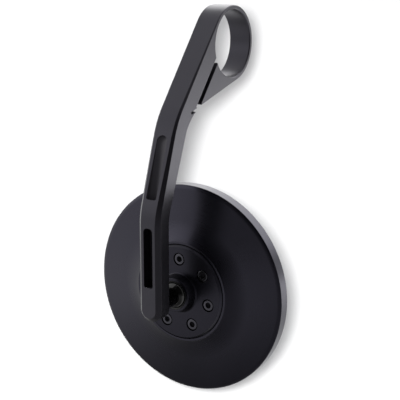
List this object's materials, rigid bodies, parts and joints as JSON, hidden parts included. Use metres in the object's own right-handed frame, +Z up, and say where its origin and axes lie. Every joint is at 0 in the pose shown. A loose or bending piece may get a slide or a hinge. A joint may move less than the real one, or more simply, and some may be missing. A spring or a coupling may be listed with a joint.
{
  "type": "motorcycle bar end mirror",
  "caption": "Round mirror head on a ball joint, carried by a bent machined arm whose split ring clamps round the end of a motorcycle handlebar.",
  "frame": {"origin": "centre of the clamp bore, on its axis and at mid width", "axes": "+X along the bore axis, +Z up with the arm hanging below the bar, +Y the way the glass faces"},
  "size_m": [0.098, 0.0798, 0.1772],
  "materials": {
    "arm_anodised": "satin black anodised",
    "head_anodised": "turned, satin black anodised",
    "screw_steel": "blackened steel",
    "ball_steel": "polished black",
    "seat_plastic": "moulded",
    "pad_foam": "foam tape",
    "mirror_coat": "silvered glass"
  },
  "bodies": {
    "arm": {"mirror_arm": "arm_anodised", "clamp_screw": "screw_steel", "ball_stud": "ball_steel"},
    "seat_cup": {"ball_seat_cup": "seat_plastic"},
    "seat_ring": {"ball_seat_ring": "seat_plastic"},
    "head": {"retainer_plate": "head_anodised", "retainer_screws": "screw_steel", "mirror_housing": "head_anodised", "glass_pad": "pad_foam", "mirror_glass": "mirror_coat"}
  },
  "joints": [
    {"name": "head_tilt", "type": "hinge", "parent": "arm", "child": "seat_cup", "pos_m": [0, -0.0398, -0.11071], "axis": [1, 0, 0], "range_deg": [-15, 15]},
    {"name": "head_pan", "type": "hinge", "parent": "seat_cup", "child": "seat_ring", "pos_m": [0, -0.0398, -0.11071], "axis": [0, 0, 1], "range_deg": [-15, 15]},
    {"name": "head_spin", "type": "hinge", "parent": "seat_ring", "child": "head", "pos_m": [0, -0.0398, -0.11071], "axis": [0, 1, 0], "continuous": true}
  ]
}
